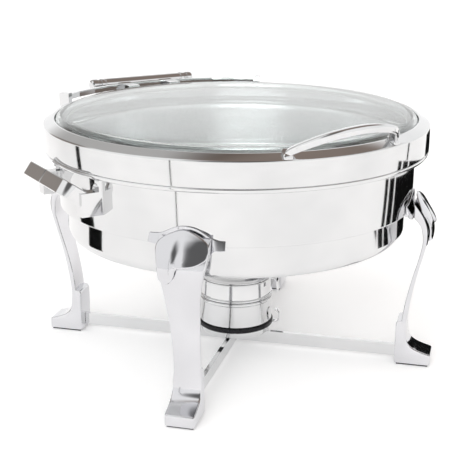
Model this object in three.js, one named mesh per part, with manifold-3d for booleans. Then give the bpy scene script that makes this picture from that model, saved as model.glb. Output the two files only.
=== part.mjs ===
// Round chafer with a hinged glass lid, millimetres, +Z up.
// Origin on the table under the pan centre. -Y is the front, +Y is the hinge side.
import * as THREE from 'three';
import { mergeVertices } from 'three/addons/utils/BufferGeometryUtils.js';
import Module from 'manifold-3d';

const wasm = await Module();
wasm.setup();

// Driving dimensions
const GAP = 0.3;              // clearance between neighbouring pieces
const SEG = 48;               // facets round the large shells
const SEG_SMALL = 24;         // facets round the burner
const PAN_FLOOR = 150.6;      // underside of the water pan
const BAND_R = 199.7;         // lower band of the water pan
const STEP_Z = 190;           // step between lower band and upper wall
const WALL_R = 208;           // upper wall of the water pan
const RIM_R = 223.2;          // rim bead and lid skirt
const RIM_Z = 254.8;          // top of the pan rim
const SHEET = 1.6;            // sheet thickness
const LID_Z = 283.4;          // top edge of the lid skirt
const CREST_Z = 289.3;        // highest line of the lid ring
const CREST_R = 211.4;
const GLASS_R = 209.4;
const GLASS_SEAT = 283;       // underside of the glass edge, on its gasket
const GLASS_CROWN = 299.4;    // highest point of the glass
const GLASS_T = 4;
const HINGE_Y = 248.8;        // hinge axis, parallel to X
const HINGE_Z = 290.5;
const BARREL_R = 8;
const BARREL_HALF = 61.5;
const PIN_R = 3;
const LEG_IN = 197.6;         // inner face of the foot
const TOE_R = 239.6;          // end of the toe
const FOOT_W = 33;
const PAD_T = 1.7;
const BAR_Z = 5;
const BAR_H = 15;
const BAR_T = 5;
const CUP_R = 44.4;           // burner cup
const CUP_Z = 35.6;
const LUG_R = 48;             // snuffer pin distance from the burner axis
const SIDE_Y = 54;            // side-handle arm offset
const LUG_X = 223.4;          // outer face of the lugs that hold the side handles
const SIDE_REACH = 34.5;      // side handle, along its slope
const SIDE_RISE = 35.6;       // slope of the side handle, degrees
const LEG_ANGLES = { fr: -45, rr: 45, rl: 135, fl: 225 };

const rad = (deg) => (deg * Math.PI) / 180;
const v2 = (x, y) => new THREE.Vector2(x, y);
const v3 = (x, y, z) => new THREE.Vector3(x, y, z);

const STEEL = [0xd4d7da, 0.12, 1.0];
const SATIN = [0xb9bcc0, 0.35, 1.0];
const CAST = [0xc6c8cb, 0.2, 1.0];
const RUBBER = [0x1d1d1f, 0.85, 0.0];
const BLACK = [0x16161a, 0.5, 0.1];
const GLASS = [0xcfe3df, 0.05, 0.0];
const CAN = [0x9a9da3, 0.4, 0.9];
const GEL = [0x7fb6c9, 0.5, 0.0];

const group = new THREE.Group();
group.name = 'round_hinged_chafer';

function add(name, geometry, finish) {
  const [color, roughness, metalness] = finish;
  const material = new THREE.MeshStandardMaterial({ color, roughness, metalness });
  const mesh = new THREE.Mesh(geometry, material);
  mesh.name = name;
  group.add(mesh);
}

function weld(geometry) {
  const g = geometry.clone();
  g.deleteAttribute('normal');
  g.deleteAttribute('uv');
  const merged = mergeVertices(g, 1e-4);
  const p = merged.attributes.position;
  const index = Array.from(merged.index.array);
  const tris = [];
  let volume = 0;
  for (let i = 0; i < index.length; i += 3) {
    const [a, b, c] = index.slice(i, i + 3);
    if (a === b || b === c || c === a) continue;
    tris.push(a, b, c);
    const A = v3().fromBufferAttribute(p, a);
    const B = v3().fromBufferAttribute(p, b);
    const C = v3().fromBufferAttribute(p, c);
    volume += A.dot(B.cross(C));
  }
  if (volume < 0) {
    for (let i = 0; i < tris.length; i += 3) {
      [tris[i], tris[i + 1]] = [tris[i + 1], tris[i]];
    }
  }
  merged.setIndex(tris);
  return merged;
}

function solid(geometry) {
  const g = weld(geometry);
  return new wasm.Manifold(new wasm.Mesh({
    numProp: 3,
    vertProperties: new Float32Array(g.attributes.position.array),
    triVerts: new Uint32Array(g.index.array),
  }));
}

function shell(manifold) {
  const mesh = manifold.getMesh();
  const g = new THREE.BufferGeometry();
  g.setAttribute('position', new THREE.BufferAttribute(new Float32Array(mesh.vertProperties), 3));
  g.setIndex(Array.from(mesh.triVerts));
  g.computeVertexNormals();
  return g;
}

// Turned piece about Z from [radius, height] pairs.
function turned(points, segments = SEG) {
  const g = new THREE.LatheGeometry(points.map(([r, z]) => v2(r, z)), segments);
  g.rotateX(Math.PI / 2);
  return weld(g);
}

// Turned ring whose section closes on itself.
function ring(points, segments = SEG) {
  return turned([...points, points[0]], segments);
}

// Turned piece about X, heights measured along X.
function turnedX(points, segments = SEG_SMALL) {
  const g = turned(points, segments);
  g.rotateY(Math.PI / 2);
  return g;
}

function box(x0, x1, y0, y1, z0, z1) {
  const g = new THREE.BoxGeometry(x1 - x0, y1 - y0, z1 - z0);
  g.translate((x0 + x1) / 2, (y0 + y1) / 2, (z0 + z1) / 2);
  return g;
}

// Shape drawn in X and Z, extruded along Y between y0 and y1.
function slabXZ(shape, y0, y1, curveSegments = 8) {
  const g = new THREE.ExtrudeGeometry(shape, { depth: y1 - y0, bevelEnabled: false, curveSegments });
  g.rotateX(Math.PI / 2);
  g.translate(0, y1, 0);
  return g;
}

// Shape drawn in Y and Z, extruded along X between x0 and x1.
function slabYZ(shape, x0, x1, curveSegments = 8) {
  const g = new THREE.ExtrudeGeometry(shape, { depth: x1 - x0, bevelEnabled: false, curveSegments });
  g.rotateX(Math.PI / 2);
  g.rotateZ(Math.PI / 2);
  g.translate(x0, 0, 0);
  return g;
}

function polygon(points) {
  return new THREE.Shape(points.map(([x, y]) => v2(x, y)));
}

function moved(geometry, x, y, z) {
  const g = geometry.clone();
  g.translate(x, y, z);
  return g;
}

function turnedTo(geometry, deg) {
  const g = geometry.clone();
  g.rotateZ(rad(deg));
  return g;
}

// ---------------------------------------------------------------- water pan
const wallIn = WALL_R - SHEET;
add('water_pan', turned([
  [0, PAN_FLOOR], [188, PAN_FLOOR], [195.5, 153.2], [199.2, 160],
  [BAND_R, STEP_Z - 1.4], [BAND_R + 1.2, STEP_Z], [WALL_R - 1.2, STEP_Z + 0.2], [WALL_R, STEP_Z + 1.6],
  [WALL_R, RIM_Z], [wallIn, RIM_Z],
  [wallIn, STEP_Z + 2], [BAND_R - SHEET, STEP_Z + 1.2],
  [197.6, 161], [194.4, 155], [187.8, PAN_FLOOR + SHEET], [0, PAN_FLOOR + SHEET],
]), STEEL);
add('pan_rim', ring([
  [WALL_R + GAP, 250.2], [RIM_R - 2.4, 250.2], [RIM_R, 251.4], [RIM_R, 253.4], [RIM_R - 1.6, RIM_Z],
  [WALL_R + GAP, RIM_Z],
]), STEEL);

// ----------------------------------------------------------------- food pan
const flange = RIM_Z + GAP + 0.1;
add('food_pan', turned([
  [0, 199], [182, 199], [189, 202], [191.6, 208], [197, flange], [214, flange],
  [214.6, flange + 0.9], [214, flange + 1.7], [204.6, flange + 1.7],
  [202.4, 261.4], [199.6, 262.2], [197, 261], [195.4, flange + 1.7],
  [190, 208.4], [187.8, 203.6], [182, 200.6], [0, 200.6],
]), SATIN);

// ------------------------------------------------------------------ the lid
const lidSection = [
  [RIM_R - 2.2, 255.6], [RIM_R - 0.6, 255.6], [RIM_R, 256.4], [RIM_R, LID_Z - 1], [RIM_R - 0.8, LID_Z],
  [CREST_R + 0.8, CREST_Z - 0.1], [CREST_R - 0.4, CREST_Z], [GLASS_R + 0.5, CREST_Z - 1],
  [GLASS_R + 0.5, 281.4], [196, 281.4], [196, 279.8], [GLASS_R + 2.1, 279.8],
  [GLASS_R + 2.1, 286.2], [RIM_R - 2.8, 281.6], [RIM_R - 2.2, 280.4],
];
add('lid_ring', ring(lidSection), STEEL);
add('lid_gasket', ring([[196.6, 281.7], [GLASS_R, 281.7], [GLASS_R, 282.7], [196.6, 282.7]]), RUBBER);

// Domed glass with a rounded shoulder above its seat.
const glassTop = [
  [GLASS_R, GLASS_SEAT + 3.2], [GLASS_R - 1.2, GLASS_SEAT + 6], [GLASS_R - 4.2, GLASS_SEAT + 8.6],
  [GLASS_R - 9.2, GLASS_SEAT + 10.5], [GLASS_R - 29, GLASS_SEAT + 12.6], [100, GLASS_CROWN - 1],
  [0, GLASS_CROWN],
];
add('lid_glass', turned([
  [0, GLASS_CROWN - GLASS_T], [100, GLASS_CROWN - GLASS_T - 1], [GLASS_R - 29.5, GLASS_SEAT + 8.6],
  [GLASS_R - 10, GLASS_SEAT + 6.4], [GLASS_R - 5.2, GLASS_SEAT + 3.6], [GLASS_R - 3.8, GLASS_SEAT],
  [GLASS_R, GLASS_SEAT], ...glassTop,
]), GLASS);

// Room kept clear above the lid ring for the pieces fixed on it.
const lidKeepOut = solid(turned([
  [0, 240], [RIM_R + 0.4, 240], [RIM_R + 0.4, LID_Z], [CREST_R + 1, CREST_Z + 0.3],
  [CREST_R - 0.6, CREST_Z + 0.4], ...glassTop.slice(1).map(([r, z]) => [r, z + 0.5]),
]));

// Arched front handle, leaning outward.
const handlePath = new THREE.CatmullRomCurve3([
  v3(-66, -206.5, 288), v3(-57, -221, 298), v3(-37, -237, 308.5), v3(0, -244, 314),
  v3(37, -237, 308.5), v3(57, -221, 298), v3(66, -206.5, 288),
]);
const strap = new THREE.Shape();
strap.absellipse(0, 0, 5.6, 4.6, 0, 2 * Math.PI, false, 0);
function handleSweep() {
  const steps = 22;
  const frames = [];
  for (let i = 0; i <= steps; i += 1) {
    const at = handlePath.getPointAt(i / steps);
    const along = handlePath.getTangentAt(i / steps);
    const lean = v3(at.x * 0.006, -1, 0.1).normalize();
    const side = lean.clone().cross(along).normalize();
    const out = along.clone().cross(side).normalize();
    frames.push({ at, side, out, taper: 0.72 + 0.28 * Math.sin((Math.PI * i) / steps) });
  }
  const rim = strap.getPoints(5).slice(0, -1);
  const count = rim.length;
  const position = [];
  for (const { at, side, out, taper } of frames) {
    for (const p of rim) {
      const q = at.clone().addScaledVector(out, p.x * taper).addScaledVector(side, p.y * taper);
      position.push(q.x, q.y, q.z);
    }
  }
  const index = [];
  for (let i = 0; i < steps; i += 1) {
    for (let j = 0; j < count; j += 1) {
      const a = i * count + j;
      const b = i * count + ((j + 1) % count);
      index.push(a, b, a + count, b, b + count, a + count);
    }
  }
  for (let j = 1; j < count - 1; j += 1) {
    index.push(0, j + 1, j);
    index.push(steps * count, steps * count + j, steps * count + j + 1);
  }
  const g = new THREE.BufferGeometry();
  g.setAttribute('position', new THREE.Float32BufferAttribute(position, 3));
  g.setIndex(index);
  g.setAttribute('normal', new THREE.Float32BufferAttribute(position.map(() => 0), 3));
  g.setAttribute('uv', new THREE.Float32BufferAttribute(new Array((position.length / 3) * 2).fill(0), 2));
  return g;
}
let lidHandle = solid(handleSweep());
for (const side of [-1, 1]) {
  const foot = box(-5, 5, -6, 6, 280, 289.5);
  foot.rotateZ(side * rad(18));
  foot.translate(side * 66, -207, 0);
  lidHandle = lidHandle.add(solid(foot));
}
add('lid_handle', shell(lidHandle.subtract(lidKeepOut)), STEEL);

// --------------------------------------------------------------- lid hinge
const pinBore = solid(moved(turnedX([
  [0, -90], [PIN_R + 0.35, -90], [PIN_R + 0.35, 90], [0, 90],
], 16), 0, HINGE_Y, HINGE_Z));
const barrelRoom = solid(moved(turnedX([
  [0, -120], [BARREL_R + 0.4, -120], [BARREL_R + 0.4, 120], [0, 120],
]), 0, HINGE_Y, HINGE_Z));

const pin = turnedX([[0, -73], [PIN_R, -73], [PIN_R, 73], [0, 73]], 16);
add('hinge_pin', moved(pin, 0, HINGE_Y, HINGE_Z), SATIN);
const boreR = PIN_R + 0.35;
add('hinge_barrel', moved(turnedX([
  [boreR, -BARREL_HALF], [BARREL_R - 0.6, -BARREL_HALF], [BARREL_R, -BARREL_HALF + 0.8],
  [BARREL_R, BARREL_HALF - 0.8], [BARREL_R - 0.6, BARREL_HALF], [boreR, BARREL_HALF],
  [boreR, -BARREL_HALF],
]), 0, HINGE_Y, HINGE_Z), STEEL);
for (const [name, side] of [['l', -1], ['r', 1]]) {
  const cap = turnedX([
    [0, 75.4], [7, 75.4], [8.2, 74.2], [8.2, 65.6], [boreR, 65.6], [boreR, 73.4], [0, 73.4],
  ], 20);
  if (side < 0) cap.rotateZ(Math.PI);
  add(`hinge_cap_${name}`, moved(cap, 0, HINGE_Y, HINGE_Z), STEEL);
}

// Curved strap on the lid that carries the barrel, with an ear at each end.
let lidStrap = solid(ring([[226.5, 287.5], [232, 287.5], [232, 294], [226.5, 294]]));
const wedge = new THREE.Shape();
wedge.moveTo(0, 0);
wedge.lineTo(300 * Math.sin(rad(39)), 300 * Math.cos(rad(39)));
wedge.lineTo(0, 330);
wedge.lineTo(-300 * Math.sin(rad(39)), 300 * Math.cos(rad(39)));
const sector = new THREE.ExtrudeGeometry(wedge, { depth: 100, bevelEnabled: false });
sector.translate(0, 0, 240);
lidStrap = lidStrap.intersect(solid(sector));
for (const deg of [38, 142]) {
  const ear = box(220, 233.5, -4, 4, 281, 297.5);
  lidStrap = lidStrap.add(solid(turnedTo(ear, deg + (deg < 90 ? 14 : -14))));
}
for (const side of [-1, 1]) {
  const arm = box(side * 30 - 8, side * 30 + 8, 210.5, 243.5, 281, 293);
  lidStrap = lidStrap.add(solid(arm));
}
lidStrap = lidStrap.subtract(lidKeepOut).subtract(barrelRoom);
add('lid_hinge_strap', shell(lidStrap), STEEL);

// Bracket on the back of the water pan: curved plate, shelf and two ears.
const panWall = ring([[WALL_R + 0.4, 212], [213, 212], [213, 247.4], [WALL_R + 0.4, 247.4]]);
let bracket = solid(panWall).intersect(solid(box(-68, 68, 150, 260, 200, 260)));
const shelf = solid(box(-68, 68, 197, HINGE_Y + 7.5, 242.4, 247.4))
  .subtract(solid(turned([[0, 200], [210, 200], [210, 260], [0, 260]])));
bracket = bracket.add(shelf);
for (const side of [-1, 1]) {
  const ear = new THREE.Shape();
  ear.moveTo(234, 243);
  ear.lineTo(HINGE_Y + 7.5, 243);
  ear.lineTo(HINGE_Y + 7.5, HINGE_Z);
  ear.absarc(HINGE_Y, HINGE_Z, 7.5, 0, Math.PI, false);
  ear.lineTo(HINGE_Y - 7.5, HINGE_Z - 12);
  const x = side * 63.6;
  bracket = bracket.add(solid(slabYZ(ear, x - 1.7, x + 1.7)));
}
add('hinge_bracket', shell(bracket.subtract(pinBore)), STEEL);

// ------------------------------------------------------------ side handles
const loop = new THREE.Shape();
const bendAt = SIDE_REACH - 14;
loop.moveTo(-8, -SIDE_Y - 4);
loop.lineTo(bendAt, -SIDE_Y - 4);
loop.absarc(bendAt, -SIDE_Y + 10, 14, -Math.PI / 2, 0, false);
loop.absarc(bendAt, SIDE_Y - 10, 14, 0, Math.PI / 2, false);
loop.lineTo(-8, SIDE_Y + 4);
loop.lineTo(-8, SIDE_Y - 1);
loop.lineTo(bendAt, SIDE_Y - 1);
loop.absarc(bendAt, SIDE_Y - 10, 9, Math.PI / 2, 0, true);
loop.absarc(bendAt, -SIDE_Y + 10, 9, 0, -Math.PI / 2, true);
loop.lineTo(-8, -SIDE_Y + 1);
const loopBody = new THREE.ExtrudeGeometry(loop, { depth: 17, bevelEnabled: false, curveSegments: 6 });
loopBody.translate(0, 0, -8.5);
loopBody.rotateY(-rad(SIDE_RISE));
loopBody.translate(214, 0, 223.5);
const sideHandle = solid(loopBody).subtract(solid(box(180, LUG_X + 0.4, -80, 80, 180, 300)));

// Bracket at each arm: a lug that takes the arm, on a flange against the wall.
const flangeRing = solid(ring([[WALL_R + 0.4, 209], [212.8, 209], [212.8, 246.5], [WALL_R + 0.4, 246.5]]));
const wallCore = solid(turned([[0, 200], [WALL_R + 0.4, 200], [WALL_R + 0.4, 260], [0, 260]]));
const plate = flangeRing.intersect(solid(box(150, 240, SIDE_Y - 3, SIDE_Y + 7, 200, 250)));
const block = solid(box(185, LUG_X, SIDE_Y - 7, SIDE_Y + 7, 209, 234.4)).subtract(wallCore);
const bracketB = plate.add(block);
const bracketA = bracketB.mirror([0, 1, 0]);
for (const [name, deg] of [['l', 180], ['r', 0]]) {
  add(`side_handle_${name}`, turnedTo(shell(sideHandle), deg), STEEL);
  add(`side_bracket_${name}_a`, turnedTo(shell(bracketA), deg), STEEL);
  add(`side_bracket_${name}_b`, turnedTo(shell(bracketB), deg), STEEL);
}

// --------------------------------------------------------------- the legs
const legSide = new THREE.Shape();
legSide.moveTo(LEG_IN, PAD_T + GAP);
legSide.lineTo(TOE_R, PAD_T + GAP);
legSide.lineTo(TOE_R - 0.4, 14.6);
legSide.splineThru([
  v2(228, 18), v2(216, 23.6), v2(211, 33), v2(210.6, 52), v2(214.4, 84), v2(222, 120),
  v2(228.6, 148), v2(230.6, 165), v2(227.6, 180), v2(220.6, 193), v2(213.2, 201.4),
]);
legSide.lineTo(213, 184);
legSide.splineThru([
  v2(220.6, 175), v2(223.8, 162), v2(221.8, 142), v2(215, 114), v2(207.8, 82), v2(204.3, 56),
]);
legSide.lineTo(199, 54);
legSide.lineTo(LEG_IN, 50);
const legFront = new THREE.Shape();
const halfWidth = [
  v2(15, 54), v2(15.6, 86), v2(17, 112), v2(19.4, 140), v2(23, 162), v2(27, 184), v2(28, 206),
];
legFront.moveTo(-FOOT_W / 2, 0);
legFront.lineTo(FOOT_W / 2, 0);
legFront.lineTo(FOOT_W / 2 - 0.4, 40);
legFront.splineThru(halfWidth);
legFront.lineTo(-28, 206);
legFront.splineThru(halfWidth.slice(0, -1).reverse().map((p) => v2(-p.x, p.y)));
legFront.lineTo(-FOOT_W / 2 + 0.4, 40);
const leg = solid(slabXZ(legSide, -30, 30, 2)).intersect(solid(slabYZ(legFront, 190, 245, 1)));

// Winged saddle that holds the pan by its step.
const wings = new THREE.Shape();
wings.moveTo(-41.5, 191.4);
wings.lineTo(-30.5, 190.6);
wings.quadraticCurveTo(-27.5, 189, -26.5, 181);
wings.lineTo(26.5, 181);
wings.quadraticCurveTo(27.5, 189, 30.5, 190.6);
wings.lineTo(41.5, 191.4);
wings.lineTo(41.5, 201);
wings.quadraticCurveTo(31, 201.2, 24.5, 204.5);
wings.quadraticCurveTo(13, 211.6, 0, 211.6);
wings.quadraticCurveTo(-13, 211.6, -24.5, 204.5);
wings.quadraticCurveTo(-31, 201.2, -41.5, 201);
const ledge = ring([
  [201.6, STEP_Z - 0.4], [211, STEP_Z - 0.4], [211, 181], [203, 183.4], [201.6, 185],
]);
const saddle = solid(slabYZ(wings, WALL_R + 0.4, 212.7, 5))
  .add(solid(ledge).intersect(solid(box(180, 212.7, -26, 26, 170, 200))));

// Leaf laid over the knee of the leg; its long lobe hangs to one side.
const leafSide = new THREE.Shape();
leafSide.moveTo(213.4, 209);
leafSide.splineThru([
  v2(216.4, 206), v2(222.4, 199), v2(229.8, 188.5), v2(234, 180), v2(236.3, 169), v2(236, 162),
  v2(234.2, 154),
]);
leafSide.lineTo(230.8, 155);
leafSide.splineThru([v2(232.8, 165), v2(231.8, 174), v2(228.4, 184), v2(219, 197.6), v2(213.4, 203.6)]);
const leafFront = new THREE.Shape();
leafFront.moveTo(-15.5, 156);
leafFront.quadraticCurveTo(-7, 158, -5.4, 166);
leafFront.quadraticCurveTo(-4, 174.6, 4, 175.4);
leafFront.quadraticCurveTo(18, 176, 26, 183);
leafFront.lineTo(28.4, 191);
leafFront.quadraticCurveTo(26, 201, 14, 207);
leafFront.lineTo(0, 210.4);
leafFront.lineTo(-14, 207);
leafFront.quadraticCurveTo(-26, 201, -28.4, 191);
leafFront.lineTo(-24.6, 172);
leafFront.quadraticCurveTo(-23.6, 158, -15.5, 156);
const leaf = solid(slabXZ(leafSide, -40, 40, 2)).intersect(solid(slabYZ(leafFront, 200, 250, 4)));

const pad = box(LEG_IN + 2.4, TOE_R - 2.4, -14.5, 14.5, 0, PAD_T);
for (const [name, deg] of Object.entries(LEG_ANGLES)) {
  add(`leg_${name}`, turnedTo(shell(leg), deg), CAST);
  add(`saddle_${name}`, turnedTo(shell(saddle), deg), CAST);
  add(`leaf_${name}`, turnedTo(shell(leaf), deg), CAST);
  add(`foot_pad_${name}`, turnedTo(pad, deg), RUBBER);
}

// ------------------------------------------------------------- cross bars
const barEnd = LEG_IN - GAP;
const halfNotch = BAR_T / 2 + GAP;
const barTop = BAR_Z + BAR_H;
const barMid = BAR_Z + BAR_H / 2;
const barLower = polygon([
  [-barEnd, BAR_Z], [barEnd, BAR_Z], [barEnd, barTop], [halfNotch, barTop],
  [halfNotch, barMid - 0.15], [-halfNotch, barMid - 0.15], [-halfNotch, barTop], [-barEnd, barTop],
]);
const barUpper = polygon([
  [-barEnd, BAR_Z], [-halfNotch, BAR_Z], [-halfNotch, barMid + 0.15], [halfNotch, barMid + 0.15],
  [halfNotch, BAR_Z], [barEnd, BAR_Z], [barEnd, barTop], [-barEnd, barTop],
]);
add('cross_bar_a', turnedTo(slabXZ(barLower, -BAR_T / 2, BAR_T / 2), 45), STEEL);
add('cross_bar_b', turnedTo(slabXZ(barUpper, -BAR_T / 2, BAR_T / 2), -45), STEEL);

// --------------------------------------------------------------- the burner
add('burner_dish', turned([
  [0, 20.4], [38, 20.4], [42.4, 22], [44.4, 29.3], [42.8, 29.3], [41, 23.6], [37.6, 22], [0, 22],
], SEG_SMALL), STEEL);
add('burner_ring', ring([
  [36, 29.6], [45.4, 29.6], [46, 30.4], [46, 34.5], [45.4, 35.3], [36, 35.3],
], SEG_SMALL), BLACK);
add('burner_cup', turned([
  [0, CUP_Z], [CUP_R - 0.6, CUP_Z], [CUP_R, CUP_Z + 1], [43.4, 62.6], [44.9, 63.8], [44.9, 65.6],
  [43.4, 66.8], [41.6, 66.8], [41.6, CUP_Z + SHEET], [0, CUP_Z + SHEET],
], SEG_SMALL), STEEL);
const lugAngle = 129;
const collarRing = solid(ring([
  [41.2, 67.1], [43.6, 67.1], [44.9, 68.2], [44.9, 69.6], [43.2, 70.6],
  [42.8, 88.8], [43.8, 90], [41.2, 90],
], SEG_SMALL));
const lug = solid(moved(turned([[0, 80], [3.8, 80], [3.8, 90], [0, 90]], 16), LUG_R, 0, 0));
const lugWeb = solid(box(42.2, LUG_R - 1, -2.5, 2.5, 80.5, 89.5));
const lugBore = solid(moved(turned([[0, 70], [1.9, 70], [1.9, 99], [0, 99]], 12), LUG_R, 0, 0));
const collar = collarRing.add(lug.add(lugWeb).rotate([0, 0, lugAngle]))
  .subtract(lugBore.rotate([0, 0, lugAngle]));
add('burner_collar', shell(collar), STEEL);
add('fuel_can', turned([
  [0, 37.6], [38, 37.6], [38.8, 38.6], [38.8, 84.6], [38, 85.6], [36.6, 84.6], [13, 84.2],
  [12, 86], [9.4, 86], [9.4, 83], [37.6, 83], [37.6, 38.8], [0, 38.8],
], SEG_SMALL), CAN);
add('fuel_gel', turned([[0, 39.1], [37.2, 39.1], [37.2, 82.7], [0, 82.7]], SEG_SMALL), GEL);

// Snuffer lid: disc with an ear on the pin and a bent lever on the other side.
let snuffer = solid(turned([
  [0, 91.6], [30, 91.6], [36, 90.4], [43.4, 90.4], [43.8, 91], [43.4, 92], [36.6, 92],
  [30.6, 93.2], [0, 93.2],
], SEG_SMALL));
snuffer = snuffer.add(solid(turnedTo(moved(turned([
  [0, 90.4], [4.4, 90.4], [4.4, 92], [0, 92],
], 16), LUG_R, 0, 0), lugAngle)));
snuffer = snuffer.add(solid(turnedTo(box(42, LUG_R - 1, -3.4, 3.4, 90.4, 92), lugAngle)));
const lever = polygon([
  [41, 90.4], [50.2, 90.4], [52.2, 88.6], [53.6, 77], [55.4, 77], [54.2, 89.6], [51, 92], [41, 92],
]);
snuffer = snuffer.add(solid(turnedTo(slabXZ(lever, -4, 4), -51)));
add('snuffer_lid', shell(snuffer.subtract(lugBore.rotate([0, 0, lugAngle]))), STEEL);
add('snuffer_pin', turnedTo(moved(turned([
  [0, 79], [1.6, 79], [1.6, 92.3], [3.2, 92.3], [3, 93.8], [0, 94.2],
], 12), LUG_R, 0, 0), lugAngle), SATIN);

// Curled grip on the burner ring.
const curl = new THREE.Shape();
curl.moveTo(46.3, 30.9);
curl.quadraticCurveTo(55, 31, 55.4, 39.5);
curl.quadraticCurveTo(55.2, 47.4, 49, 48.2);
curl.lineTo(48.8, 46.6);
curl.quadraticCurveTo(53.6, 46, 53.6, 39.5);
curl.quadraticCurveTo(53.4, 32.8, 46.3, 32.7);
add('burner_grip', turnedTo(slabXZ(curl, -4.5, 4.5, 6), -41), STEEL);

export default group;
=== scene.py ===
"""Round chafer with a hinged glass lid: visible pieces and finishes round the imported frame.

Metres, +Z up. The front, with the lid handle, is at -Y and the lid hinge at +Y.
"""

import math

import bmesh
import bpy
from mathutils import Matrix, Vector

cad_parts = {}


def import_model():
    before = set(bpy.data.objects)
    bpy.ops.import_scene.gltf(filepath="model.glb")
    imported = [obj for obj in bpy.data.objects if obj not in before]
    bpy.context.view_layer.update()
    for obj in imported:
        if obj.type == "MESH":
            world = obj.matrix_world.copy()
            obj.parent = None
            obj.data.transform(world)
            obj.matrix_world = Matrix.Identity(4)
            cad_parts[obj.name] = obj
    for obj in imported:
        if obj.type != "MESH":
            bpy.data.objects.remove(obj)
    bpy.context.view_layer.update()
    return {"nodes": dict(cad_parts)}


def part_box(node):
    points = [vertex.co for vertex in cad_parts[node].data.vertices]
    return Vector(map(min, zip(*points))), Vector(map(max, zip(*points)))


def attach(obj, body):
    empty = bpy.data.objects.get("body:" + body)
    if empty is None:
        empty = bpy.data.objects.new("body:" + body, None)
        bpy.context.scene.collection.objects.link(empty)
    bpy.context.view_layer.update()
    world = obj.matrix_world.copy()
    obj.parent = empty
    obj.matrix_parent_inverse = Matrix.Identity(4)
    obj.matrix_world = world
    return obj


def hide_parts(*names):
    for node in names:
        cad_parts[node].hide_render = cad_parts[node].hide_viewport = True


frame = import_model()

MM = 0.001
NODES = frame["nodes"]
LEG_ANGLES = {"fr": -45, "rr": 45, "rl": 135, "fl": 225}


def mm_box(node):
    """Lowest and highest corner of a CAD node, in millimetres."""
    low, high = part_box(node)
    return low / MM, high / MM


# Driving sizes in millimetres, read from the frame.
RING_LOW, RING_HIGH = mm_box("lid_ring")
RIM_R = RING_HIGH.x
PAN_LOW, PAN_HIGH = mm_box("water_pan")
WALL_R = PAN_HIGH.x
PAN_Z = PAN_LOW.z
PAN_TOP = PAN_HIGH.z
RIM_LOW, RIM_HIGH = mm_box("pan_rim")
FOOD_LOW, FOOD_HIGH = mm_box("food_pan")
GASKET_LOW, GASKET_HIGH = mm_box("lid_gasket")
GLASS_LOW, GLASS_HIGH = mm_box("lid_glass")
GLASS_R = GLASS_HIGH.x
BARREL_LOW, BARREL_HIGH = mm_box("hinge_barrel")
HINGE_Y = (BARREL_LOW.y + BARREL_HIGH.y) / 2
HINGE_Z = (BARREL_LOW.z + BARREL_HIGH.z) / 2
BARREL_R = (BARREL_HIGH.z - BARREL_LOW.z) / 2
CUP_LOW, CUP_HIGH = mm_box("burner_cup")

# Sizes that no box in the frame gives, in millimetres, and directions in degrees.
SHEET = 1.6               # thickness of the spun sheet
STEP_Z = PAN_Z + 39.4     # step between the pan's wall and its lower band
BAND_R = WALL_R - 8.3     # radius of the lower band
LEDGE_R = 196             # inner edge of the ledge under the glass
HANDLE_HALF = 66          # from the middle of the lid handle to its feet
TOE_R = 239.6             # tip of each foot
HEEL_R = 197.6            # inner side of each foot
SADDLE_R = 212.6          # outer face of each saddle bar
SADDLE_HALF = 41.5        # half the length of a saddle bar, measured along that face
WING_DROOP = 4.0          # fall of the right-hand wing tip of each saddle, seen from outside
PIVOT_TURN = 129          # direction of the snuffer's pin round the burner
PIVOT = Matrix.Rotation(math.radians(PIVOT_TURN), 3, "Z") @ Vector((48, 0, 0))
GRIP_TURN = -41           # direction of the curled grip
LEVER_TURN = -51          # direction of the snuffer's lever at rest

# Numbers of sides on turned pieces.
SHELL_SIDES = 192
GLASS_SIDES = 160
BURNER_SIDES = 96


# ---------------------------------------------------------------- materials

def new_material(name):
    """A node material, its tree and its Principled shader."""
    material = bpy.data.materials.new(name)
    material.use_nodes = True
    tree = material.node_tree
    shader = tree.nodes["Principled BSDF"]
    return material, tree, shader


def noise(tree, scale, detail=3.0, stretch=(1, 1, 1), roughness=0.5):
    """A noise texture in object space; scale is in cycles per metre."""
    where = tree.nodes.new("ShaderNodeTexCoord")
    mapping = tree.nodes.new("ShaderNodeMapping")
    mapping.inputs["Scale"].default_value = stretch
    texture = tree.nodes.new("ShaderNodeTexNoise")
    texture.inputs["Scale"].default_value = scale
    texture.inputs["Detail"].default_value = detail
    texture.inputs["Roughness"].default_value = roughness
    tree.links.new(where.outputs["Object"], mapping.inputs["Vector"])
    tree.links.new(mapping.outputs["Vector"], texture.inputs["Vector"])
    return texture.outputs["Fac"]


def spread(tree, value, low, high, start=0.3, end=0.7):
    """Maps value from start..end to low..high."""
    node = tree.nodes.new("ShaderNodeMapRange")
    node.inputs["From Min"].default_value = start
    node.inputs["From Max"].default_value = end
    node.inputs["To Min"].default_value = low
    node.inputs["To Max"].default_value = high
    tree.links.new(value, node.inputs["Value"])
    return node.outputs["Result"]


def tint(tree, value, dark, light):
    """Colour that goes from dark to light with value."""
    ramp = tree.nodes.new("ShaderNodeValToRGB")
    ramp.color_ramp.elements[0].position = 0.3
    ramp.color_ramp.elements[1].position = 0.7
    ramp.color_ramp.elements[0].color = (*dark, 1)
    ramp.color_ramp.elements[1].color = (*light, 1)
    tree.links.new(value, ramp.inputs["Fac"])
    return ramp.outputs["Color"]


def bump(tree, shader, height, strength, distance, under=None):
    """Bump on the shader, laid over the one given as under."""
    node = tree.nodes.new("ShaderNodeBump")
    node.inputs["Strength"].default_value = strength
    node.inputs["Distance"].default_value = distance
    tree.links.new(height, node.inputs["Height"])
    if under is not None:
        tree.links.new(under, node.inputs["Normal"])
    tree.links.new(node.outputs["Normal"], shader.inputs["Normal"])
    return node.outputs["Normal"]


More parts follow.
